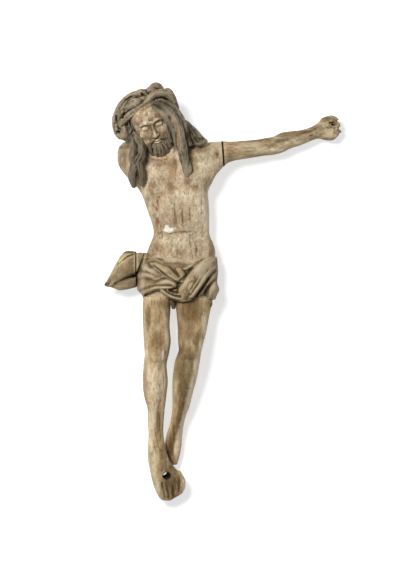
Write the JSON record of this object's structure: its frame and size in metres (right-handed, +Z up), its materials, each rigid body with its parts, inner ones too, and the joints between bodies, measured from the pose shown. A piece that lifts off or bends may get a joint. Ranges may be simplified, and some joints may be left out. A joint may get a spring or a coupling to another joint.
{
  "type": "carved wooden crucifix figure",
  "caption": "Carved and painted wooden corpus from a crucifix, lying on its back, with a wreath of thorns, a knotted loincloth, one outstretched arm and an open nail hole in the foot.",
  "frame": {"origin": "on the surface the figure lies on, under the middle of its bounding box", "axes": "+X towards the figure's left, where its arm reaches, +Y towards its head, +Z up, from its back to its chest"},
  "size_m": [0.426, 0.7488, 0.1076],
  "materials": {
    "painted_flesh": "worn and flaking matt paint on carved wood",
    "painted_arm": "worn matt paint on carved wood",
    "painted_cloth": "dirty matt paint on carved wood, scratched bare at one edge"
  },
  "bodies": {
    "root": {"corpus": "painted_flesh", "left_arm": "painted_arm", "loincloth_end": "painted_cloth"}
  },
  "joints": []
}
